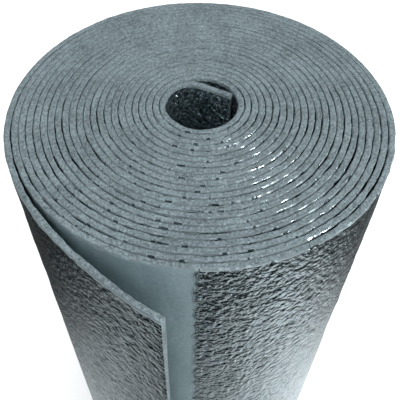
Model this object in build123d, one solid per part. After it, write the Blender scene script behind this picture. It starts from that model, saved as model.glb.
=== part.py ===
from build123d import *
import os
from math import cos, degrees, pi, radians, sin

# A roll of foil-faced foam insulation, wound without a core and standing on its end.
# Lengths are in millimetres and angles in degrees, anticlockwise seen from above.

# The sheet
sheet_thickness = 5.2
roll_width = 610.0

# The winding, two half circles a turn, which meet at the back and at the front
whole_turns = 22
gap_back = 0.98
gap_front = 1.72
eye_radius = 33.9
eye_offset = 7.0
# The turns lie tightest in this direction, measured from +Y towards -X
tight_side_angle = 16.4

# The inner end of the sheet, which curls off the first turn and lies across the eye
curl_angle = 120.0
curl_radius = 20.0
inner_end_angle = 47.3
inner_end_length = 33.0

# The outer end of the sheet, the tail, which springs off the roll in two wide bends
tail_angle = 187.4
first_bend_radius = 258.0
first_bend_length = 93.0
second_bend_radius = 457.0
second_bend_length = 115.0

# The crevice that shows between the turns on both ends of the roll. It closes where they
# are pressed together, this far to each side of the tightest direction, which differs from
# one half turn to the next. It runs out a little way beneath the tail.
crevice_mouth = 2.4
crevice_depth = 5.0
crevice_run_out = 12.0
pressed_arcs = (35.0, 72.0, 48.0, 64.0, 56.0)

pitch_back = sheet_thickness + gap_back
pitch_front = sheet_thickness + gap_front
last_half_turn = 2 * whole_turns


def unit(angle):
    """The direction at an angle round the roll."""
    return Vector(cos(radians(angle)), sin(radians(angle)))


def reach(crossing):
    """How far the sheet's inner face is from the middle, where a half turn starts.

    Even crossings are at the back and odd ones at the front.
    """
    if crossing % 2 == 0:
        return eye_radius + eye_offset + crossing // 2 * pitch_back
    return eye_radius - eye_offset + crossing // 2 * pitch_front


def radius_of(half_turn):
    """The radius of a half turn's inner face."""
    return (reach(half_turn) + reach(half_turn + 1)) / 2


def centre_of(half_turn):
    """The centre of a half turn. Even half turns pass the left and odd ones the right."""
    shift = (reach(half_turn) - reach(half_turn + 1)) / 2
    return Vector(0, shift if half_turn % 2 == 0 else -shift)


def arc(centre, radius, start_angle, end_angle):
    """An arc of a circle from one angle to the other."""
    return CenterArc((centre.X, centre.Y), radius, start_angle, end_angle - start_angle)


def loop(*edges):
    """The flat face inside a closed chain of edges."""
    return make_face(Curve() + list(edges))


# The tail's two bends follow on smoothly from the outermost half turn
tail_centre = centre_of(last_half_turn)
tail_inner_radius = radius_of(last_half_turn)
tail_outer_radius = tail_inner_radius + sheet_thickness
second_bend_angle = tail_angle + degrees(first_bend_length / first_bend_radius)
tail_end_angle = second_bend_angle + degrees(second_bend_length / second_bend_radius)
first_bend_centre = tail_centre + unit(tail_angle) * (tail_outer_radius - first_bend_radius)
second_bend_centre = first_bend_centre + unit(second_bend_angle) * (
    first_bend_radius - second_bend_radius
)
first_bend_inside = first_bend_radius - sheet_thickness
second_bend_inside = second_bend_radius - sheet_thickness


def outline():
    """The plan of the wound roll with its tail, as if it had no eye."""
    beneath = last_half_turn - 2
    right_side = last_half_turn - 1
    beneath_radius = radius_of(beneath) + sheet_thickness
    tail_tip = second_bend_centre + unit(tail_end_angle) * second_bend_radius
    tail_tip_inside = second_bend_centre + unit(tail_end_angle) * second_bend_inside
    root = tail_centre + unit(tail_angle) * tail_inner_radius
    root_beneath = centre_of(beneath) + unit(tail_angle) * beneath_radius
    return loop(
        arc(centre_of(right_side), radius_of(right_side) + sheet_thickness, -90, 90),
        arc(tail_centre, tail_outer_radius, 90, tail_angle),
        arc(first_bend_centre, first_bend_radius, tail_angle, second_bend_angle),
        arc(second_bend_centre, second_bend_radius, second_bend_angle, tail_end_angle),
        Line(tail_tip, tail_tip_inside),
        arc(second_bend_centre, second_bend_inside, tail_end_angle, second_bend_angle),
        arc(first_bend_centre, first_bend_inside, second_bend_angle, tail_angle),
        Line(root, root_beneath),
        arc(centre_of(beneath), beneath_radius, tail_angle, 270),
    )


def eye():
    """The plan of the eye, with the sheet's inner end left standing across it."""
    curl_centre = centre_of(0) + unit(curl_angle) * (radius_of(0) - curl_radius)
    behind_curl = centre_of(0) + unit(curl_angle) * (radius_of(0) + sheet_thickness)
    second_turn = centre_of(2)
    # The point of the second turn's inner face that is straight across the crevice
    across = second_turn + unit(curl_angle) * radius_of(2)
    run = unit(inner_end_angle - 90) * inner_end_length
    run_start = curl_centre + unit(inner_end_angle) * curl_radius
    run_start_behind = run_start + unit(inner_end_angle) * sheet_thickness
    return loop(
        arc(centre_of(1), radius_of(1), -90, 90),
        arc(second_turn, radius_of(2), 90, curl_angle),
        Line(across, behind_curl),
        arc(curl_centre, curl_radius + sheet_thickness, curl_angle, inner_end_angle),
        Line(run_start_behind, run_start_behind + run),
        Line(run_start_behind + run, run_start + run),
        Line(run_start + run, run_start),
        arc(curl_centre, curl_radius, inner_end_angle, curl_angle),
        arc(centre_of(0), radius_of(0), curl_angle, 270),
    )


def crevice(half_turn, start_angle, end_angle):
    """The V between a half turn and the one beneath it, cut into the upper end."""
    at_start = reach(half_turn) - (gap_back if half_turn % 2 == 0 else gap_front) / 2
    at_end = reach(half_turn + 1) - (gap_front if half_turn % 2 == 0 else gap_back) / 2
    radius = (at_start + at_end) / 2
    centre = centre_of(half_turn)
    section = Plane.XZ * make_face(
        Polyline(
            (radius - crevice_mouth / 2, roll_width),
            (radius + crevice_mouth / 2, roll_width),
            (radius, roll_width - crevice_depth),
            close=True,
        )
    )
    swept = revolve(section, Axis.Z, end_angle - start_angle)
    return Pos(centre.X, centre.Y) * Rot(0, 0, start_angle) * swept


def crevices():
    """Every stretch of the crevice on the upper end, from the inner end to the tail."""
    stretches = []
    for half_turn in range(2, last_half_turn + 1):
        pressed_arc = pressed_arcs[half_turn % len(pressed_arcs)]
        if half_turn % 2 == 0:
            start_angle = 90 + pressed_arc
            end_angle = 270 if half_turn < last_half_turn else tail_angle + crevice_run_out
        else:
            start_angle = -90
            end_angle = 90 - pressed_arc
        stretches.append(crevice(half_turn, start_angle, end_angle))
    return stretches


def sheet_length():
    """The length of the sheet if it were unrolled, along the middle of its thickness."""
    half_sheet = sheet_thickness / 2
    length = inner_end_length
    length += radians(curl_angle - inner_end_angle) * (curl_radius + half_sheet)
    length += radians(270 - curl_angle) * (radius_of(0) + half_sheet)
    for half_turn in range(1, last_half_turn):
        length += pi * (radius_of(half_turn) + half_sheet)
    length += radians(tail_angle - 90) * (tail_inner_radius + half_sheet)
    return length + first_bend_length + second_bend_length


upper_crevices = crevices()
middle_height = Plane.XY.offset(roll_width / 2)
lower_crevices = [mirror(cut, about=middle_height) for cut in upper_crevices]

roll = extrude(outline() - eye(), amount=roll_width)
roll = roll - (upper_crevices + lower_crevices)
roll = Rot(0, 0, tight_side_angle) * roll

# The origin is in the middle of the footprint's bounding rectangle, on the floor
footprint = roll.bounding_box().center()
roll = Pos(-footprint.X, -footprint.Y) * roll

os.makedirs("parts", exist_ok=True)
export_step(roll, "parts/insulation_roll.step")
print("unrolled sheet, metres:", round(sheet_length() / 1000, 2))
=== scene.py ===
"""An insulation roll: one foil-faced foam sheet, wound without a core, and its studio."""

import math

import bmesh
import bpy
import numpy as np
from mathutils import Euler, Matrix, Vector


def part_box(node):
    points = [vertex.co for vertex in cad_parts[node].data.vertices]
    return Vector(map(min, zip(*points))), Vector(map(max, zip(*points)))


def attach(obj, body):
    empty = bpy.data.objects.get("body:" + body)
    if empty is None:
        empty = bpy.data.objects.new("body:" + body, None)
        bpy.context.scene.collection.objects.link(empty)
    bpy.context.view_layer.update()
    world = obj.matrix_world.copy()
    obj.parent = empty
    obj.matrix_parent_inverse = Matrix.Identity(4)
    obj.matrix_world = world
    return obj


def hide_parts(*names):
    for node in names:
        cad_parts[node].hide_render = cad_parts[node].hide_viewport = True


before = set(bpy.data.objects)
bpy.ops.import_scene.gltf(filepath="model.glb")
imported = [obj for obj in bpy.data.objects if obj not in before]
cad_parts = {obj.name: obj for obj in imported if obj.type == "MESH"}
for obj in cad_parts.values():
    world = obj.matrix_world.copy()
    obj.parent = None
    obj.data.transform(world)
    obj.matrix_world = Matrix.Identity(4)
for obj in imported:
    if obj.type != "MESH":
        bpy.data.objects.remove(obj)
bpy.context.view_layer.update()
sheet_low, sheet_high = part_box("insulation_roll")

bl_info = {
    "name": "Insulation Roll",
    "version": (1, 0, 0),
    "blender": (4, 5, 0),
    "location": "3D Viewport > Sidebar > Insulation",
    "description": "A coreless roll of foil-faced foam insulation with a sprung outer end",
    "category": "Object",
}

BODY = "root"
CAD_NODE = "insulation_roll"

# How far down from the cut edge the faces follow its ups and downs, in metres
EDGE_REACH = 0.028
# The places across the sheet's end, as shares of half its thickness, inner face first, with
# how far each one is below the cut edge, in metres
END_PROFILE = (
    (1.0, EDGE_REACH),
    (1.0, 0.0036),
    (0.99, 0.0010),
    (0.93, 0.0002),
    (0.66, 0.0),
    (0.12, 0.0003),
    (-0.42, 0.0),
    (-0.74, 0.0001),
    (-0.92, 0.0006),
    (-0.99, 0.0015),
    (-1.0, 0.0040),
    (-1.0, 0.0105),
    (-1.0, EDGE_REACH),
)
# The foam shows between these two places of the profile, and foil on both sides of them
FOAM_FIRST, FOAM_LAST = 1, 7
# The same across the lower end, outer face first, with the height of each place
FOOT_PROFILE = (
    (-1.0, 0.006),
    (-0.96, 0.0008),
    (-0.6, 0.0),
    (0.6, 0.0),
    (0.96, 0.0008),
    (1.0, 0.006),
)

# The step along the winding's line, and the length of the lip at each end of the sheet
TRACE_STEP = 0.0015
END_LIP = 0.0006
# The share of its thickness that the sheet has at its two ends, which rounds them
END_SQUEEZE = 0.86
# In the eye, the height down to which the rows lie close, and their spacing above and below it
EYE_FINE_TO = 0.42
EYE_FINE_SPACING = 0.0045
EYE_WIDE_SPACING = 0.02
# The outer face shows from this share of the half turn beneath the tail's, and on this share
# of the stretch in the eye. The inner face shows from this share of the last half turn.
OUTER_FACE_SHARE = 0.42
INNER_END_SHARE = 0.4
TAIL_ROOT_SHARE = 0.9
# How far before the tail's root the foil beneath the tail, smooth and with a painted reflection,
# starts, and from where to where past the tail's tip it ends, in metres
SHELTER_RISE = 0.05
SHELTER_FADE = (0.005, 0.027)

# The width and height of what is pressed into the foil, and its depth, in metres
CELL_SIZE = (0.0052, 0.0064)
FOLD_SIZE = (0.0070, 0.0086)
GRAIN_SIZE = (0.0021, 0.0024)
EMBOSSED_DEPTH = 0.0018
# How far below the cut edge the foil's torn band starts and is in full, how far from the outer
# end the tail's foam lip does, and between which lengths from the inner end the scuffs end
TORN_BAND = (0.0028, 0.0012)
TAIL_LIP = (0.52, 0.46)
EYE_STRETCH = (0.30, 0.36)
# The colour painted beneath the tail, a dull grey in place of the reflection the foil shows
# there, and the width and depth of the pits in the cut foam
PAINTED_REFLECTION_GREY = (0.215, 0.29, 0.31, 1.0)
PIT_SIZE = 0.0021
PIT_DEPTH = 0.0009

# How far the floor and the reflection card go, and the card's height above the floor
FLOOR_REACH = 9.0
CARD_REACH = 6.0
CARD_HEIGHT = 0.002
CARD_COLOUR = (0.96, 0.99, 1.0, 1.0)
SKY_COLOUR = (0.97, 0.99, 1.0, 1.0)
# How bright the card is at least, and how much it gains between these distances from the roll
DARK_FLOOR = 0.008
FAR_FLOOR = 0.07
FAR_AWAY = (1.1, 2.0)
# The card's glow grows between these distances behind the roll. The sky's grows until this
# share of a ray's heading is backwards, and is in full this many times as bright.
BEHIND = (0.2, 0.9)
SKY_GLOW_HEADING = 0.7
SKY_GLOW_TIMES = 1.3
# Pools of light on the reflection card: the place and size of each, the setting that says how
# bright it is, and the share of that setting
POOLS = (
    ((0.258, -0.1, 0.0), 0.15, "right_pool", 1.0),
    ((-0.23, -0.11, 0.0), 0.125, "left_pool", 1.0),
    ((0.03, -0.26, 0.0), 0.065, "front_pool", 1.0),
    ((0.15, 0.85, 0.0), 0.4, "back_glow", 1.2),
)
# The lights: name, place, size, the setting that says how strong each one is, and whether
# reflections show it. Both are turned towards the lit place.
LIGHTS = (
    ("key", (2.0, -0.73, 1.75), 0.7, "key_power", True),
    ("fill", (-0.1, -1.6, 2.2), 0.9, "fill_power", False),
)
LIT_PLACE = Vector((0.0, 0.0, 0.55))


class RollSizes(bpy.types.PropertyGroup):
    """The sizes of the sheet and of its winding."""

    thickness: bpy.props.FloatProperty(
        name="Sheet thickness",
        description="Foam and both foil facings together",
        default=0.0052,
        min=0.001,
        unit="LENGTH",
    )
    width: bpy.props.FloatProperty(
        name="Sheet width",
        description="Height of the roll as it stands",
        default=sheet_high.z - sheet_low.z,
        min=0.05,
        unit="LENGTH",
    )
    whole_turns: bpy.props.IntProperty(
        name="Whole turns", description="Turns before the loose end", default=22, min=3
    )
    gap_back: bpy.props.FloatProperty(
        name="Gap at the back",
        description="Space between two turns where they lie tightest",
        default=0.00098,
        min=0.0002,
        unit="LENGTH",
    )
    gap_front: bpy.props.FloatProperty(
        name="Gap at the front",
        description="Space between two turns where they lie loosest",
        default=0.00172,
        min=0.0002,
        unit="LENGTH",
    )
    eye_radius: bpy.props.FloatProperty(
        name="Eye radius",
        description="Radius of the open middle",
        default=0.0339,
        min=0.01,
        unit="LENGTH",
    )
    eye_offset: bpy.props.FloatProperty(
        name="Eye offset",
        description="How far the open middle lies towards the back",
        default=0.007,
        unit="LENGTH",
    )
    tight_side: bpy.props.FloatProperty(
        name="Tight side",
        description="Direction in which the turns lie tightest, measured from the back",
        default=math.radians(16.4),
        subtype="ANGLE",
    )
    curl_angle: bpy.props.FloatProperty(
        name="Curl start",
        description="Where the inner end leaves the first turn",
        default=math.radians(120.0),
        subtype="ANGLE",
    )
    curl_radius: bpy.props.FloatProperty(
        name="Curl radius",
        description="Bend of the inner end",
        default=0.02,
        min=0.005,
        unit="LENGTH",
    )
    inner_end_angle: bpy.props.FloatProperty(
        name="Inner end direction",
        description="Where the curl runs out into the straight inner end",
        default=math.radians(47.3),
        subtype="ANGLE",
    )
    inner_end_length: bpy.props.FloatProperty(
        name="Inner end length",
        description="The straight stretch across the eye",
        default=0.033,
        min=0.0,
        unit="LENGTH",
    )
    tail_angle: bpy.props.FloatProperty(
        name="Tail start",
        description="Where the outer end springs off the roll",
        default=math.radians(187.4),
        subtype="ANGLE",
    )
    first_bend_radius: bpy.props.FloatProperty(
        name="First bend radius",
        description="Outer radius of the tail's first bend",
        default=0.258,
        min=0.02,
        unit="LENGTH",
    )
    first_bend_length: bpy.props.FloatProperty(
        name="First bend length",
        description="Length of the first bend",
        default=0.093,
        unit="LENGTH",
    )
    second_bend_radius: bpy.props.FloatProperty(
        name="Second bend radius",
        description="Outer radius of the tail's second bend",
        default=0.457,
        min=0.02,
        unit="LENGTH",
    )
    second_bend_length: bpy.props.FloatProperty(
        name="Second bend length",
        description="Length of the second bend",
        default=0.115,
        unit="LENGTH",
    )


class SheetSurface(bpy.types.PropertyGroup):
    """How uneven the sheet lies and how its two surfaces look."""

    station_spacing: bpy.props.FloatProperty(
        name="Station spacing",
        description="Distance between the mesh's cross sections along the sheet",
        default=0.005,
        min=0.002,
        unit="LENGTH",
    )
    row_spacing: bpy.props.FloatProperty(
        name="Row spacing",
        description="Distance between the mesh's rows on the faces that show",
        default=0.0068,
        min=0.002,
        unit="LENGTH",
    )
    gap_waviness: bpy.props.FloatProperty(
        name="Gap waviness",
        description="Share of the gap by which the turns wander",
        default=0.9,
        min=0.0,
        max=1.0,
        subtype="FACTOR",
    )
    edge_unevenness: bpy.props.FloatProperty(
        name="Edge unevenness",
        description="How much the cut edge rises and falls",
        default=0.0009,
        min=0.0,
        unit="LENGTH",
    )
    turn_stagger: bpy.props.FloatProperty(
        name="Turn stagger",
        description="How far neighbouring turns stand above each other",
        default=0.0009,
        min=0.0,
        unit="LENGTH",
    )
    crinkle_depth: bpy.props.FloatProperty(
        name="Crinkle depth",
        description="Depth of the folds pressed into the foil",
        default=0.0005,
        min=0.0,
        unit="LENGTH",
    )
    crinkle_width: bpy.props.FloatProperty(
        name="Crinkle width",
        description="Distance from one fold to the next",
        default=0.016,
        min=0.001,
        unit="LENGTH",
    )
    seed: bpy.props.IntProperty(name="Seed", description="Changes every random place", default=7)
    foil_colour: bpy.props.FloatVectorProperty(
        name="Foil",
        description="Colour of the aluminium facing",
        subtype="COLOR",
        default=(0.545, 0.66, 0.705),
        min=0.0,
        max=1.0,
    )
    foam_colour: bpy.props.FloatVectorProperty(
        name="Foam",
        description="Colour of the cut foam edge",
        subtype="COLOR",
        default=(0.108, 0.139, 0.150),
        min=0.0,
        max=1.0,
    )


class StudioSettings(bpy.types.PropertyGroup):
    """The floor, the lights and the camera."""

    floor_colour: bpy.props.FloatVectorProperty(
        name="Floor",
        description="Colour of the floor",
        subtype="COLOR",
        default=(0.95, 0.95, 0.95),
        min=0.0,
        max=1.0,
    )
    sky_strength: bpy.props.FloatProperty(
        name="Sky strength", description="Even light from all round", default=1.2, min=0.0
    )
    mirrored_sky: bpy.props.FloatProperty(
        name="Mirrored sky",
        description="How bright the foil sees the studio's walls",
        default=0.03,
        min=0.0,
    )
    right_pool: bpy.props.FloatProperty(
        name="Pool at the right",
        description="How bright the foil sees the lit floor at the right of the roll",
        default=1.15,
        min=0.0,
    )
    left_pool: bpy.props.FloatProperty(
        name="Pool at the left",
        description="How bright the foil sees the lit floor at the left of the roll",
        default=0.5,
        min=0.0,
    )
    front_pool: bpy.props.FloatProperty(
        name="Pool in front",
        description="How bright the foil sees the lit floor close in front of the roll",
        default=0.16,
        min=0.0,
    )
    key_power: bpy.props.FloatProperty(
        name="Key light",
        description="Power of the large light at the right",
        default=45.0,
        min=0.0,
    )
    fill_power: bpy.props.FloatProperty(
        name="Fill light",
        description="Power of the soft light at the front, which reflections don't show",
        default=19.0,
        min=0.0,
    )
    back_glow: bpy.props.FloatProperty(
        name="Glow behind",
        description="How bright the foil sees the studio behind the roll",
        default=0.38,
        min=0.0,
    )
    camera_place: bpy.props.FloatVectorProperty(
        name="Camera place", description="Where the camera is", default=(0.0011, -0.3856, 0.9715)
    )
    camera_pitch: bpy.props.FloatProperty(
        name="Camera pitch",
        description="How steeply the camera looks down",
        default=math.radians(50.74),
        subtype="ANGLE",
    )
    camera_roll: bpy.props.FloatProperty(
        name="Camera roll",
        description="How far the camera leans",
        default=math.radians(1.24),
        subtype="ANGLE",
    )
    lens: bpy.props.FloatProperty(
        name="Lens", description="Focal length in millimetres", default=51.16, min=10.0
    )


class Winding:
    """The line that the middle of the sheet's thickness follows, seen from above.

    Each turn is two half circles, which meet at the back and at the front.
    """

    def __init__(self, sizes):
        self.sizes = sizes
        self.half_sheet = sizes.thickness / 2
        self.pitch_back = sizes.thickness + sizes.gap_back
        self.pitch_front = sizes.thickness + sizes.gap_front
        self.last_half_turn = 2 * sizes.whole_turns
        self.arcs = self.bends()
        self.points, self.lengths = self.trace(TRACE_STEP)
        self.length = self.lengths[-1]

    def reach(self, crossing):
        """How far the inner face is from the middle where a half turn starts."""
        if crossing % 2 == 0:
            return self.sizes.eye_radius + self.sizes.eye_offset + crossing // 2 * self.pitch_back
        return self.sizes.eye_radius - self.sizes.eye_offset + crossing // 2 * self.pitch_front

    def half_turn(self, number):
        """The centre and the inner face's radius of a half turn."""
        here, there = self.reach(number), self.reach(number + 1)
        shift = (here - there) / 2
        return np.array((0.0, shift if number % 2 == 0 else -shift)), (here + there) / 2

    def bends(self):
        """Every arc from the inner end to the tail: centre, radius, and both angles."""
        sizes = self.sizes
        centre, radius = self.half_turn(0)
        curl_centre = centre + direction(sizes.curl_angle) * (radius - sizes.curl_radius)
        curl_middle = sizes.curl_radius + self.half_sheet
        arcs = [(curl_centre, curl_middle, sizes.inner_end_angle, sizes.curl_angle)]
        arcs.append((centre, radius + self.half_sheet, sizes.curl_angle, 1.5 * math.pi))
        for number in range(1, self.last_half_turn):
            centre, radius = self.half_turn(number)
            start = math.pi / 2 if number % 2 == 0 else -math.pi / 2
            arcs.append((centre, radius + self.half_sheet, start, start + math.pi))
        centre, radius = self.half_turn(self.last_half_turn)
        middle = radius + self.half_sheet
        arcs.append((centre, middle, math.pi / 2, sizes.tail_angle))
        angle = sizes.tail_angle
        for bend_radius, bend_length in (
            (sizes.first_bend_radius, sizes.first_bend_length),
            (sizes.second_bend_radius, sizes.second_bend_length),
        ):
            bend_middle = bend_radius - self.half_sheet
            centre = centre + direction(angle) * (middle - bend_middle)
            end_angle = angle + bend_length / bend_radius
            arcs.append((centre, bend_middle, angle, end_angle))
            angle, middle = end_angle, bend_middle
        return arcs

    def trace(self, step):
        """Points along the whole line and how far along it each one lies."""
        centre, radius, start, _ = self.arcs[0]
        run_end = centre + direction(start) * radius
        backwards = direction(start - math.pi / 2) * self.sizes.inner_end_length
        count = math.ceil(self.sizes.inner_end_length / (2 * step))
        points = list(np.linspace(run_end + backwards, run_end, count + 1)[:-1])
        for centre, radius, start, end in self.arcs:
            count = max(2, math.ceil((end - start) * radius / step))
            for angle in np.linspace(start, end, count + 1)[:-1]:
                points.append(centre + direction(angle) * radius)
        centre, radius, _, end = self.arcs[-1]
        points.append(centre + direction(end) * radius)
        points = np.array(points)
        turned = turn(points, self.sizes.tight_side)
        outside = turned + outward_of(turned) * self.half_sheet
        self.middle = -(outside.min(0) + outside.max(0)) / 2
        placed = turned + self.middle
        steps = np.linalg.norm(np.diff(placed, axis=0), axis=1)
        return placed, np.concatenate(([0.0], np.cumsum(steps)))

    def beneath_tail(self):
        """Where the stretch of the turn beneath the tail starts and ends along the sheet."""
        last_stretch = 0.6
        earlier = self.lengths < self.length - last_stretch
        root = self.points[np.searchsorted(self.lengths, self.arc_start(-2))]
        found = []
        for point in (root, self.points[-1]):
            distances = np.linalg.norm(self.points[earlier] - point, axis=1)
            found.append(self.lengths[earlier][np.argmin(distances)])
        return found

    def arc_start(self, index):
        """How far along the sheet an arc starts, counted from the end for negative ones."""
        lengths = [self.sizes.inner_end_length]
        for _, radius, start, end in self.arcs:
            lengths.append((end - start) * radius)
        starts = np.cumsum(lengths)
        return starts[:-1][index]


def direction(angle):
    """The direction at an angle round the roll."""
    return np.array((math.cos(angle), math.sin(angle)))


def turn(points, angle):
    """Points turned about the vertical."""
    cos, sin = math.cos(angle), math.sin(angle)
    return points @ np.array(((cos, sin), (-sin, cos)))


def outward_of(points):
    """The direction away from the roll's middle at each point of the line."""
    along = np.gradient(points, axis=0)
    along /= np.linalg.norm(along, axis=1)[:, None]
    return np.stack((along[:, 1], -along[:, 0]), axis=1)


def smooth_step(value, low, high):
    """0 below low, 1 above high and smooth between them."""
    share = min(1.0, max(0.0, (value - low) / (high - low)))
    return share * share * (3 - 2 * share)


def new_object(name, data):
    """An object with this data, put into the scene."""
    made = bpy.data.objects.new(name, data)
    bpy.context.scene.collection.objects.link(made)
    return made


def make_path_curve(winding):
    """The winding's line as a curve object, for the winding tree."""
    curve = bpy.data.curves.new("winding_line", "CURVE")
    curve.dimensions = "3D"
    spline = curve.splines.new("POLY")
    spline.points.add(len(winding.points) - 1)
    flat = np.zeros((len(winding.points), 4), np.float32)
    flat[:, :2] = winding.points
    flat[:, 3] = 1.0
    spline.points.foreach_set("co", flat.ravel())
    return new_object("winding_line", curve)


def station_places(winding, spacing):
    """Where the sheet's cross sections are, closer in its first eighth, which bends sharply."""
    closest, first_part = 0.62, 1 / 8
    places = [0.0, END_LIP]
    while places[-1] < winding.length - END_LIP - spacing:
        share = min(1.0, places[-1] / winding.length / first_part)
        places.append(places[-1] + spacing * (closest + (1 - closest) * share))
    places[-1] = winding.length - END_LIP
    places.append(winding.length)
    return np.array(places)


def face_rows(top, foot, spacing):
    """The heights of the rows on a face that shows, from its top row to its foot row."""
    count = max(2, round((top - foot) / spacing))
    return np.linspace(top, foot, count + 1)[1:-1]


def make_flat_sheet(winding, surface):
    """The sheet laid out flat: X along it, Y towards the inner face and Z up.

    Faces that no one sees between two turns are one long face a station. The faces that
    show have rows, and the cut ends of the sheet are closed.
    """
    sizes = winding.sizes
    half, width = winding.half_sheet, sizes.width
    places = station_places(winding, surface.station_spacing)
    top_row = width - EDGE_REACH
    foot_row = FOOT_PROFILE[0][1]
    fine_rows = face_rows(top_row, foot_row, surface.row_spacing)
    eye_rows = np.concatenate(
        (
            face_rows(top_row, EYE_FINE_TO, EYE_FINE_SPACING),
            [EYE_FINE_TO],
            face_rows(EYE_FINE_TO, foot_row, EYE_WIDE_SPACING),
        )
    )
    beneath, outermost, last, tail = (winding.arc_start(index) for index in (-5, -4, -3, -2))
    outer_from = beneath + OUTER_FACE_SHARE * (outermost - beneath)
    tail_from = last + TAIL_ROOT_SHARE * (tail - last)
    eye_to = winding.arc_start(4)

    vertices, shown, sheltered, uvs, rings = [], [], [], [], []
    # The stretch beneath the tail, smooth and with a painted reflection on its outer face
    shelter_from, shelter_to = winding.beneath_tail()
    fade_from, fade_to = (shelter_to + past for past in SHELTER_FADE)

    def add(place, across, height, show):
        """The number of a new vertex, with how much its foil is folded and how much it lies
        beneath the tail, where it is smooth and has a painted reflection.
        """
        shelter = 0.0
        if across < 0:
            shelter = smooth_step(place, shelter_from - SHELTER_RISE, shelter_from)
            shelter = max(0.0, shelter - smooth_step(place, fade_from, fade_to))
        vertices.append((place, across * half, height))
        shown.append(show * (1 - shelter))
        sheltered.append(shelter)
        uvs.append((place, height))
        return len(vertices) - 1

    for index, place in enumerate(places):
        squeeze = END_SQUEEZE if index in (0, len(places) - 1) else 1.0
        inner_shows = place < eye_to or place > tail_from
        outer_shows = place > outer_from or place < eye_to * INNER_END_SHARE
        rows = eye_rows if place < eye_to else fine_rows
        inner = [add(place, squeeze, z, 1.0) for z in rows[::-1]] if inner_shows else []
        outer = [add(place, -squeeze, z, 1.0) for z in rows] if outer_shows else []
        top = [
            add(place, across * squeeze, width - drop, 1.0 if abs(across) == 1 else 0.0)
            for across, drop in END_PROFILE
        ]
        foot = [add(place, across * squeeze, height, 0.0) for across, height in FOOT_PROFILE]
        rings.append({"inner": inner, "top": top, "outer": outer, "foot": foot})

    faces, foam = [], []

    def strip(first, second, is_foam):
        """Quads between two chains of the same length, the second one further along."""
        for a, b, c, d in zip(first, first[1:], second[1:], second):
            faces.append((a, b, c, d))
            foam.append(is_foam)

    def wall(first, second):
        """The part of a face between two stations, in quads or as one polygon."""
        if len(first) == len(second):
            strip(first, second, False)
        else:
            faces.append(tuple(first) + tuple(second[::-1]))
            foam.append(False)

    for near, far in zip(rings, rings[1:]):
        wall(
            [near["foot"][-1]] + near["inner"] + [near["top"][0]],
            [far["foot"][-1]] + far["inner"] + [far["top"][0]],
        )
        inner_lip, cut = slice(FOAM_FIRST + 1), slice(FOAM_FIRST, FOAM_LAST + 1)
        strip(near["top"][inner_lip], far["top"][inner_lip], False)
        strip(near["top"][cut], far["top"][cut], True)
        strip(near["top"][FOAM_LAST:], far["top"][FOAM_LAST:], False)
        wall(
            [near["top"][-1]] + near["outer"] + [near["foot"][0]],
            [far["top"][-1]] + far["outer"] + [far["foot"][0]],
        )
        strip(near["foot"][:2], far["foot"][:2], False)
        strip(near["foot"][1:-1], far["foot"][1:-1], True)
        strip(near["foot"][-2:], far["foot"][-2:], False)

    for ring, flip in ((rings[0], False), (rings[-1], True)):
        caps = [ring["top"], ring["foot"]]
        inner = [ring["foot"][-1]] + ring["inner"] + [ring["top"][0]]
        outer = ([ring["top"][-1]] + ring["outer"] + [ring["foot"][0]])[::-1]
        for a, b, c, d in zip(inner, inner[1:], outer[1:], outer):
            caps.append([a, b, c, d])
        for cap in caps:
            faces.append(tuple(cap if flip else cap[::-1]))
            foam.append(True)

    mesh = bpy.data.meshes.new("insulation_sheet")
    mesh.from_pydata(vertices, [], faces)
    points = np.array(vertices)
    set_point_values(mesh, "room", gap_room(winding, points))
    set_point_values(mesh, "shown", np.array(shown))
    # Where the foil beneath the tail lies smooth and gets a painted reflection
    set_point_values(mesh, "sheltered", np.array(sheltered))
    foam_layer = mesh.attributes.new("foam", "BOOLEAN", "FACE")
    foam_layer.data.foreach_set("value", foam)
    layer = mesh.uv_layers.new(name="along_sheet")
    corner_vertex = np.zeros(len(mesh.loops), np.int32)
    mesh.loops.foreach_get("vertex_index", corner_vertex)
    layer.data.foreach_set("uv", np.array(uvs, np.float32)[corner_vertex].ravel())
    mesh.update()
    return mesh


def set_point_values(mesh, name, values):
    """Stores one number a vertex."""
    layer = mesh.attributes.new(name, "FLOAT", "POINT")
    layer.data.foreach_set("value", values.astype(np.float32))


def gap_room(winding, points):
    """Half the gap beside each vertex of the flat sheet.

    The gap goes from its size at the front to its size at the back as the sheet goes round.
    """
    x = np.interp(points[:, 0], winding.lengths, winding.points[:, 0])
    y = np.interp(points[:, 0], winding.lengths, winding.points[:, 1])
    local = turn(np.stack((x, y), axis=1) - winding.middle, -winding.sizes.tight_side)
    angle = np.arctan2(local[:, 1], local[:, 0])
    back_share = (1 + np.sin(angle)) / 2
    front, back = winding.sizes.gap_front, winding.sizes.gap_back
    return (front + (back - front) * back_share) / 2


class Tree:
    """A small helper that adds nodes to a tree and joins them."""

    def __init__(self, tree):
        self.tree = tree

    def add(self, kind, inputs=(), **settings):
        """A node with its settings, its inputs given by name or number."""
        node = self.tree.nodes.new(kind)
        for name, value in settings.items():
            setattr(node, name, value)
        for key, value in dict(inputs).items():
            socket = node.inputs[key]
            if isinstance(value, bpy.types.NodeSocket):
                self.tree.links.new(value, socket)
            else:
                socket.default_value = value
        return node

    def math(self, operation, a, b=0.0, c=0.0):
        """The result of one arithmetic node."""
        return self.add("ShaderNodeMath", {0: a, 1: b, 2: c}, operation=operation).outputs[0]

    def vector(self, operation, a, b=None, scale=None):
        """The result of one vector node."""
        inputs = {0: a}
        if b is not None:
            inputs[1] = b
        if scale is not None:
            inputs["Scale"] = scale
        return self.add("ShaderNodeVectorMath", inputs, operation=operation).outputs[0]


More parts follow.
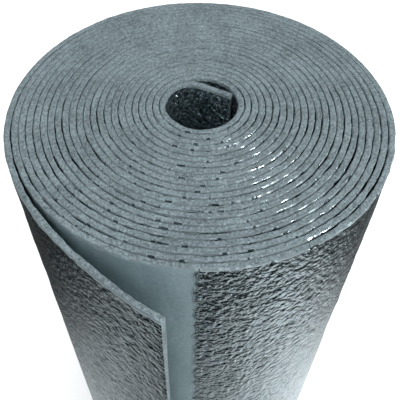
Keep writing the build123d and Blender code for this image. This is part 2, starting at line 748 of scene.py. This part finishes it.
def make_winding_tree():
    """A node tree that winds a flat sheet along a line and makes it uneven."""
    tree = bpy.data.node_groups.new("wind_sheet", "GeometryNodeTree")
    tree.is_modifier = True
    new_socket = tree.interface.new_socket
    new_socket("Sheet", in_out="INPUT", socket_type="NodeSocketGeometry")
    new_socket("Line", in_out="INPUT", socket_type="NodeSocketObject")
    for name in (
        "Thickness",
        "Width",
        "Front gap",
        "Gap waviness",
        "Edge unevenness",
        "Turn stagger",
        "Crinkle depth",
        "Crinkle width",
        "Seed",
    ):
        new_socket(name, in_out="INPUT", socket_type="NodeSocketFloat")
    new_socket("Foil", in_out="INPUT", socket_type="NodeSocketMaterial")
    new_socket("Foam", in_out="INPUT", socket_type="NodeSocketMaterial")
    new_socket("Roll", in_out="OUTPUT", socket_type="NodeSocketGeometry")

    build = Tree(tree)
    given = tree.nodes.new("NodeGroupInput").outputs
    place = build.add("GeometryNodeInputPosition").outputs[0]
    split = build.add("ShaderNodeSeparateXYZ", {0: place}).outputs
    along, across, height = split[0], split[1], split[2]
    half = build.math("MULTIPLY", given["Thickness"], 0.5)
    side = build.math("DIVIDE", across, half)

    def named(name):
        """A number stored on the sheet's vertices."""
        return build.add(
            "GeometryNodeInputNamedAttribute", {"Name": name}, data_type="FLOAT"
        ).outputs["Attribute"]

    def noise(most, reach_along, reach_up, extra, detail=1.0):
        """Noise from -most to most that changes over these distances along and up the sheet.

        The sheet's two faces are far enough apart in it to move each on its own.
        """
        apart = 3.7
        where = build.add(
            "ShaderNodeCombineXYZ",
            {
                "X": build.math("DIVIDE", along, reach_along),
                "Y": build.math("MULTIPLY", side, apart),
                "Z": build.math("DIVIDE", height, reach_up),
            },
        ).outputs[0]
        texture = build.add(
            "ShaderNodeTexNoise",
            {
                "Vector": where,
                "W": build.math("ADD", given["Seed"], extra),
                "Scale": 1.0,
                "Detail": detail,
                "Roughness": 0.5,
            },
            noise_dimensions="4D",
        )
        return build.math(
            "MULTIPLY", build.math("MULTIPLY_ADD", texture.outputs[0], 2.0, -1.0), most
        )

    # The turns wander in their gaps, and the gap opens and closes along them
    room = named("room")
    wander = noise(most=2.9, reach_along=0.0095, reach_up=0.05, extra=0.0, detail=2.0)
    sway = noise(most=1.5, reach_along=0.05, reach_up=0.1, extra=5.0)
    drift = noise(most=1.2, reach_along=0.23, reach_up=0.4, extra=11.0)
    wave = build.math("ADD", build.math("ADD", wander, sway), drift)

    # The share of a gap that the sheet closes is less where the gap is wide
    closed_without_room, closed_at_front = 1.88, 0.23
    most_open, most_closed = -0.6, 0.96
    loose = build.math("DIVIDE", room, build.math("MULTIPLY", given["Front gap"], 0.5))
    swell = build.math(
        "MULTIPLY_ADD", loose, closed_at_front - closed_without_room, closed_without_room
    )
    closing = build.math("ADD", build.math("MULTIPLY", wave, given["Gap waviness"]), swell)
    closing = build.math("MINIMUM", build.math("MAXIMUM", closing, most_open), most_closed)
    widening = build.math("MULTIPLY", build.math("MULTIPLY", closing, room), side)

    # The cut edge rises and falls, and turns stand a little above each other
    below = build.math("DIVIDE", build.math("SUBTRACT", given["Width"], height), EDGE_REACH)
    near_edge = build.math("MAXIMUM", build.math("SUBTRACT", 1.0, below), 0.0)
    uneven = given["Edge unevenness"]
    ragged = noise(uneven, reach_along=0.007, reach_up=0.05, extra=23.0, detail=2.0)
    stagger = noise(given["Turn stagger"], reach_along=0.35, reach_up=5.0, extra=31.0)
    rise = build.math("MULTIPLY", build.math("ADD", ragged, stagger), near_edge)

    # Folds pressed into the foil where it shows
    fold_width = given["Crinkle width"]
    fold_height = build.math("MULTIPLY", fold_width, 0.7)
    fold_depth = build.math("MULTIPLY", named("shown"), given["Crinkle depth"])
    folds = noise(fold_depth, fold_width, fold_height, extra=47.0, detail=3.0)
    folds = build.math("MULTIPLY", folds, side)

    line = build.add(
        "GeometryNodeObjectInfo", {"Object": given["Line"]}, transform_space="ORIGINAL"
    )
    wound = build.add(
        "GeometryNodeSampleCurve",
        {"Curves": line.outputs["Geometry"], "Length": along},
        mode="LENGTH",
        use_all_curves=True,
    )
    inward = build.vector("CROSS_PRODUCT", (0.0, 0.0, 1.0), wound.outputs["Tangent"])
    inward = build.vector("NORMALIZE", inward)
    offset = build.math("ADD", build.math("ADD", across, widening), folds)
    level = build.math("ADD", height, rise)
    upright = build.add("ShaderNodeCombineXYZ", {"Z": level}).outputs[0]
    sideways = build.vector("SCALE", inward, scale=offset)
    target = build.vector("ADD", wound.outputs["Position"], sideways)
    target = build.vector("ADD", target, upright)
    moved = build.add("GeometryNodeSetPosition", {"Geometry": given["Sheet"], "Position": target})

    realized = build.add("GeometryNodeRealizeInstances", {"Geometry": moved.outputs[0]})
    is_foam = build.add(
        "GeometryNodeInputNamedAttribute", {"Name": "foam"}, data_type="BOOLEAN"
    ).outputs["Attribute"]
    foiled = build.add(
        "GeometryNodeSetMaterial", {"Geometry": realized.outputs[0], "Material": given["Foil"]}
    )
    foamed = build.add(
        "GeometryNodeSetMaterial",
        {"Geometry": foiled.outputs[0], "Selection": is_foam, "Material": given["Foam"]},
    )
    result = tree.nodes.new("NodeGroupOutput")
    tree.links.new(foamed.outputs[0], result.inputs["Roll"])
    return tree


def new_material(name):
    """A material, the helper that adds nodes to it, and its shader."""
    material = bpy.data.materials.new(name)
    material.use_nodes = True
    material.node_tree.nodes.clear()
    build = Tree(material.node_tree)
    shader = build.add("ShaderNodeBsdfPrincipled")
    output = build.add("ShaderNodeOutputMaterial")
    material.node_tree.links.new(shader.outputs[0], output.inputs[0])
    return material, build, shader


def make_foil(colour, foam_colour, width, length):
    """Bright aluminium facing, embossed all over; beneath the tail smooth, with a painted
    reflection in a dull grey.
    """
    material, build, shader = new_material("embossed_foil")
    links = material.node_tree.links
    uv = build.add("ShaderNodeUVMap", uv_map="along_sheet").outputs[0]
    # Beneath the tail the foil gets a painted reflection
    sheltered = build.add("ShaderNodeAttribute", attribute_name="sheltered").outputs["Fac"]

    def stretched(width, height, seed):
        """Places on the sheet, measured in cells of this width and height."""
        return build.add(
            "ShaderNodeMapping",
            {
                "Vector": uv,
                "Location": (seed, 2.3 * seed, 0.0),
                "Scale": (1 / width, 1 / height, 1.0),
            },
        ).outputs[0]

    def noise(width, height, seed, detail):
        """Noise that changes over this width and height."""
        where = stretched(width, height, seed)
        return build.add(
            "ShaderNodeTexNoise",
            {"Vector": where, "Scale": 1.0, "Detail": detail, "Roughness": 0.6},
        ).outputs

    def between(share, low, high, first=0.0, last=1.0):
        """A number between low and high, as the share goes from first to last."""
        return build.add(
            "ShaderNodeMapRange",
            {"Value": share, "From Min": first, "From Max": last, "To Min": low, "To Max": high},
        ).outputs[0]

    def mixed(share, first, last):
        """A colour between the first and the last one."""
        node = build.add("ShaderNodeMix", {"Factor": share, 6: first, 7: last}, data_type="RGBA")
        return node.outputs[2]

    # The stretch beneath the tail with the painted reflection ends unevenly
    frayed = build.math("SUBTRACT", noise(0.007, 0.011, 6.1, 3.0)[0], 0.5)
    sheltered = between(build.math("ADD", sheltered, frayed), 0.0, 1.0, 0.36, 0.64)

    # Foam crumbs and the torn edge hide most of the foil's cut edge, and all of it on the tail
    along, level = build.add("ShaderNodeSeparateXYZ", {0: uv}).outputs[:2]
    near_edge = between(level, 0.0, 1.0, *(width - down for down in TORN_BAND))
    on_tail = between(along, 0.0, -0.4, *(length - back for back in TAIL_LIP))
    torn = build.math("ADD", noise(0.012, 0.3, 4.4, 2.0)[0], on_tail)
    torn = between(torn, 1.0, 0.0, 0.51, 0.61)
    crumbs = build.math("MULTIPLY", near_edge, torn)

    # Handling has scuffed the foil round the eye
    in_eye = between(along, 1.0, 0.0, *EYE_STRETCH)
    scuffs = between(noise(0.0026, 0.0023, 9.2, 3.0)[0], 0.0, 1.0, 0.57, 0.63)
    scuffs = build.math("MULTIPLY", in_eye, scuffs)

    # Rounded cells that run into each other, with wider folds and a fine grain
    warp = build.vector("SUBTRACT", noise(0.009, 0.008, 2.7, 1.0)[1], (0.5, 0.5, 0.5))
    warp = build.vector("SCALE", warp, scale=1.3)
    cells = build.add(
        "ShaderNodeTexVoronoi",
        {
            "Vector": build.vector("ADD", stretched(*CELL_SIZE, 3.1), warp),
            "Scale": 1.0,
            "Smoothness": 0.12,
            "Randomness": 1.0,
        },
        feature="SMOOTH_F1",
    )
    folds = noise(*FOLD_SIZE, 8.7, 2.5)[0]
    grain = noise(*GRAIN_SIZE, 5.3, 1.0)[0]
    height = build.math("MULTIPLY", cells.outputs["Distance"], -0.9)
    height = build.math("MULTIPLY_ADD", folds, 1.7, height)
    height = build.math("MULTIPLY_ADD", grain, 0.3, height)
    height = build.math("MULTIPLY", height, between(sheltered, 1.0, 0.1))
    height = build.math("MULTIPLY", height, between(near_edge, 1.0, 0.25))
    bump = build.add(
        "ShaderNodeBump", {"Height": height, "Strength": 1.0, "Distance": EMBOSSED_DEPTH}
    )
    links.new(bump.outputs[0], shader.inputs["Normal"])

    # Wide patches are a little darker or paler. Beneath the tail a painted reflection: a dull,
    # mottled grey, rougher and less metallic, in place of what the foil mirrors there
    patches = noise(0.11, 0.07, 1.9, 3.0)[0]
    darker = (*[0.86 * c for c in colour], 1.0)
    paler = (*[min(1.0, 1.08 * c) for c in colour], 1.0)
    mottled = between(noise(0.004, 0.004, 7.7, 3.0)[0], 0.8, 1.2, 0.2, 0.8)
    mottled = build.math("MULTIPLY", sheltered, mottled)
    tint = mixed(mottled, mixed(patches, darker, paler), PAINTED_REFLECTION_GREY)
    tint = mixed(crumbs, tint, (*foam_colour, 1.0))
    links.new(tint, shader.inputs["Base Color"])
    roughness = between(patches, 0.12, 0.2, 0.3, 0.7)
    # Rougher beneath the tail, for the painted reflection
    roughness = build.math("MULTIPLY_ADD", sheltered, 0.3, roughness)
    roughness = build.math("MULTIPLY_ADD", crumbs, 0.5, roughness)
    roughness = build.math("MULTIPLY_ADD", in_eye, 0.07, roughness)
    links.new(roughness, shader.inputs["Roughness"])
    bare = build.math("SUBTRACT", 1.0, crumbs)
    # Less metallic beneath the tail, for the painted reflection
    bare = build.math("MULTIPLY", between(sheltered, 1.0, 0.4), bare)
    bare = build.math("MULTIPLY", bare, between(scuffs, 1.0, 0.72))
    links.new(bare, shader.inputs["Metallic"])
    return material


def make_foam(colour):
    """Cut closed-cell foam: matte, blue-grey, mottled and finely pitted."""
    material, build, shader = new_material("cut_foam")
    links = material.node_tree.links
    place = build.add("ShaderNodeTexCoord").outputs["Object"]

    def noise(size, detail):
        """Noise that changes over this distance."""
        return build.add(
            "ShaderNodeTexNoise",
            {"Vector": place, "Scale": 1 / size, "Detail": detail, "Roughness": 0.65},
        ).outputs[0]

    pits = build.add(
        "ShaderNodeTexVoronoi",
        {"Vector": place, "Scale": 1 / PIT_SIZE, "Randomness": 1.0},
        feature="F1",
    ).outputs["Distance"]
    speckle = noise(PIT_SIZE, 3.0)
    mottled = build.math("ADD", speckle, build.math("MULTIPLY", noise(0.03, 3.0), 0.3))
    ramp = build.add("ShaderNodeValToRGB", {"Fac": mottled})
    for step, position, brightness in zip(ramp.color_ramp.elements, (0.42, 0.88), (0.43, 1.8)):
        step.position = position
        step.color = (*[brightness * c for c in colour], 1.0)
    links.new(ramp.outputs[0], shader.inputs["Base Color"])
    relief = build.math("MULTIPLY_ADD", speckle, 0.8, pits)
    bump = build.add("ShaderNodeBump", {"Height": relief, "Strength": 0.8, "Distance": PIT_DEPTH})
    links.new(bump.outputs[0], shader.inputs["Normal"])
    shader.inputs["Roughness"].default_value = 0.85
    shader.inputs["Specular IOR Level"].default_value = 0.3
    return material


class INSULATION_OT_wind_sheet(bpy.types.Operator):
    """Winds the foil-faced sheet into the roll, with its inner end and its tail"""

    bl_idname = "insulation.wind_sheet"
    bl_label = "Wind the sheet"

    def execute(self, context):
        sizes, surface = context.scene.roll_sizes, context.scene.sheet_surface
        winding = Winding(sizes)
        path = make_path_curve(winding)
        mesh = make_flat_sheet(winding, surface)
        flat = new_object("flat_sheet", mesh)
        tree = make_winding_tree()
        modifier = flat.modifiers.new("wind_sheet", "NODES")
        modifier.node_group = tree
        foil_colour, foam_colour = surface.foil_colour, surface.foam_colour
        given = {
            "Line": path,
            "Thickness": sizes.thickness,
            "Width": sizes.width,
            "Front gap": sizes.gap_front,
            "Gap waviness": surface.gap_waviness,
            "Edge unevenness": surface.edge_unevenness,
            "Turn stagger": surface.turn_stagger,
            "Crinkle depth": surface.crinkle_depth,
            "Crinkle width": surface.crinkle_width,
            "Seed": float(surface.seed),
            "Foil": make_foil(foil_colour, foam_colour, sizes.width, winding.length),
            "Foam": make_foam(foam_colour),
        }
        for item in tree.interface.items_tree:
            if item.in_out == "INPUT" and item.name in given:
                modifier[item.identifier] = given[item.name]
        wound = bpy.data.meshes.new_from_object(
            flat.evaluated_get(context.evaluated_depsgraph_get())
        )
        if len(wound.vertices) != len(mesh.vertices):
            raise RuntimeError("the winding tree lost the sheet's mesh")
        wound.name = "insulation_sheet"
        wound.shade_smooth()
        sheet = new_object("insulation_sheet", wound)
        bpy.data.objects.remove(flat)
        bpy.data.objects.remove(path)
        check_closed(sheet)
        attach(sheet, BODY)
        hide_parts(CAD_NODE)
        return {"FINISHED"}


def check_closed(piece):
    """Stops the script if a mesh is open or inside out."""
    form = bmesh.new()
    form.from_mesh(piece.data)
    open_edges = sum(1 for edge in form.edges if not edge.is_manifold)
    volume = form.calc_volume(signed=True)
    form.free()
    faces = len(piece.data.polygons)
    print(piece.name, "open edges", open_edges, "volume", volume, "faces", faces)
    if open_edges or volume <= 0:
        raise RuntimeError(f"{piece.name} has {open_edges} open edges and volume {volume}")


def lay_square(name, reach, height, material):
    """A level square round the roll, which goes this far to each side."""
    corners = [(-reach, -reach), (reach, -reach), (reach, reach), (-reach, reach)]
    mesh = bpy.data.meshes.new(name)
    mesh.from_pydata([(x, y, height) for x, y in corners], [], [(0, 1, 2, 3)])
    mesh.materials.append(material)
    return new_object(name, mesh)


class INSULATION_OT_set_studio(bpy.types.Operator):
    """Sets up the floor, the lights, the reflection card and the camera"""

    bl_idname = "insulation.set_studio"
    bl_label = "Set up the studio"

    def execute(self, context):
        studio = context.scene.studio_settings
        self.lay_floor(studio)
        self.lay_reflection_card(studio)
        self.hang_lights(context.scene, studio)
        self.place_camera(context.scene, studio)
        return {"FINISHED"}

    def lay_floor(self, studio):
        """A plain pale floor."""
        material, _, shader = new_material("pale_floor")
        shader.inputs["Base Color"].default_value = (*studio.floor_colour, 1.0)
        shader.inputs["Roughness"].default_value = 0.9
        shader.inputs["Specular IOR Level"].default_value = 0.0
        lay_square("floor", FLOOR_REACH, 0.0, material)

    def lay_reflection_card(self, studio):
        """A dark card on the floor that only reflections see, with pools of light on it.

        It gets brighter behind the roll and far away from it.
        """
        material = bpy.data.materials.new("mirrored_floor")
        material.use_nodes = True
        material.node_tree.nodes.clear()
        build = Tree(material.node_tree)
        place = build.add("ShaderNodeTexCoord").outputs["Object"]

        # Each pool falls off smoothly all round its middle
        strength = DARK_FLOOR
        for middle, size, setting, share in POOLS:
            centred = build.vector("SUBTRACT", place, middle)
            far = build.vector("SCALE", centred, scale=1 / size)
            square = build.add("ShaderNodeVectorMath", {0: far, 1: far}, operation="DOT_PRODUCT")
            fall = build.math("EXPONENT", build.math("MULTIPLY", square.outputs["Value"], -0.5))
            brightness = share * getattr(studio, setting)
            strength = build.math("MULTIPLY_ADD", fall, brightness, strength)

        def grows(value, first, last, most, rest):
            """A smooth rise from nothing to the most, added to the rest."""
            share = build.add(
                "ShaderNodeMapRange",
                {"Value": value, "From Min": first, "From Max": last},
                interpolation_type="SMOOTHSTEP",
            )
            return build.math("MULTIPLY_ADD", share.outputs[0], most, rest)

        away = build.add("ShaderNodeVectorMath", {0: place}, operation="LENGTH").outputs["Value"]
        towards_back = build.add("ShaderNodeSeparateXYZ", {0: place}).outputs[1]
        strength = grows(away, *FAR_AWAY, FAR_FLOOR, strength)
        strength = grows(towards_back, *BEHIND, studio.back_glow, strength)
        glow = build.add("ShaderNodeEmission", {"Color": CARD_COLOUR, "Strength": strength})
        build.add("ShaderNodeOutputMaterial", {"Surface": glow.outputs[0]})
        card = lay_square("reflection_card", CARD_REACH, CARD_HEIGHT, material)
        card.visible_camera = False
        card.visible_diffuse = False
        card.visible_shadow = False
        card.visible_transmission = False

    def hang_lights(self, scene, studio):
        """Even light from all round, a key light at the right and a fill light at the front."""
        world = bpy.data.worlds.new("studio")
        scene.world = world
        world.use_nodes = True
        world.node_tree.nodes.clear()
        build = Tree(world.node_tree)
        glossy = build.add("ShaderNodeLightPath").outputs["Is Glossy Ray"]
        heading = build.add("ShaderNodeTexCoord").outputs["Generated"]
        towards_back = build.add("ShaderNodeSeparateXYZ", {0: heading}).outputs[1]
        mirrored = build.add(
            "ShaderNodeMapRange",
            {
                "Value": towards_back,
                "From Min": 0.0,
                "From Max": SKY_GLOW_HEADING,
                "To Min": studio.mirrored_sky,
                "To Max": studio.mirrored_sky + SKY_GLOW_TIMES * studio.back_glow,
            },
        ).outputs[0]
        seen = build.add("ShaderNodeMix", {0: glossy, 2: studio.sky_strength, 3: mirrored})
        background = build.add(
            "ShaderNodeBackground", {"Color": SKY_COLOUR, "Strength": seen.outputs[0]}
        )
        build.add("ShaderNodeOutputWorld", {"Surface": background.outputs[0]})
        for name, place, size, setting, in_reflections in LIGHTS:
            light = bpy.data.lights.new(name, "AREA")
            light.energy = getattr(studio, setting)
            light.size = size
            lamp = new_object(name, light)
            lamp.location = place
            aim = LIT_PLACE - lamp.location
            lamp.rotation_euler = aim.to_track_quat("-Z", "Y").to_euler()
            lamp.visible_glossy = in_reflections

    def place_camera(self, scene, studio):
        """The photograph's view: from the front, looking steeply down on the top end."""
        data = bpy.data.cameras.new("camera")
        data.lens = studio.lens
        data.sensor_width = 36.0
        data.clip_start = 0.01
        camera = new_object("camera", data)
        camera.location = studio.camera_place
        level = Euler((math.pi / 2 - studio.camera_pitch, 0.0, 0.0)).to_quaternion()
        lean = Euler((0.0, 0.0, studio.camera_roll)).to_quaternion()
        camera.rotation_euler = (level @ lean).to_euler()
        scene.camera = camera
        scene.view_settings.view_transform = "Standard"


class INSULATION_PT_panel(bpy.types.Panel):
    """Lists the roll's sizes, its surface, the studio and the steps that make them"""

    bl_label = "Insulation roll"
    bl_idname = "INSULATION_PT_panel"
    bl_space_type = "VIEW_3D"
    bl_region_type = "UI"
    bl_category = "Insulation"

    def draw(self, context):
        for group, operator in (
            (context.scene.roll_sizes, None),
            (context.scene.sheet_surface, INSULATION_OT_wind_sheet),
            (context.scene.studio_settings, INSULATION_OT_set_studio),
        ):
            column = self.layout.column()
            for name in group.__annotations__:
                column.prop(group, name)
            if operator is not None:
                column.operator(operator.bl_idname)


CLASSES = (
    RollSizes,
    SheetSurface,
    StudioSettings,
    INSULATION_OT_wind_sheet,
    INSULATION_OT_set_studio,
    INSULATION_PT_panel,
)


def register():
    for item in CLASSES:
        bpy.utils.register_class(item)
    bpy.types.Scene.roll_sizes = bpy.props.PointerProperty(type=RollSizes)
    bpy.types.Scene.sheet_surface = bpy.props.PointerProperty(type=SheetSurface)
    bpy.types.Scene.studio_settings = bpy.props.PointerProperty(type=StudioSettings)


def unregister():
    del bpy.types.Scene.studio_settings
    del bpy.types.Scene.sheet_surface
    del bpy.types.Scene.roll_sizes
    for item in reversed(CLASSES):
        bpy.utils.unregister_class(item)


def main():
    """Makes the roll and its studio."""
    register()
    bpy.ops.insulation.wind_sheet()
    bpy.ops.insulation.set_studio()


if __name__ == "__main__":
    main()
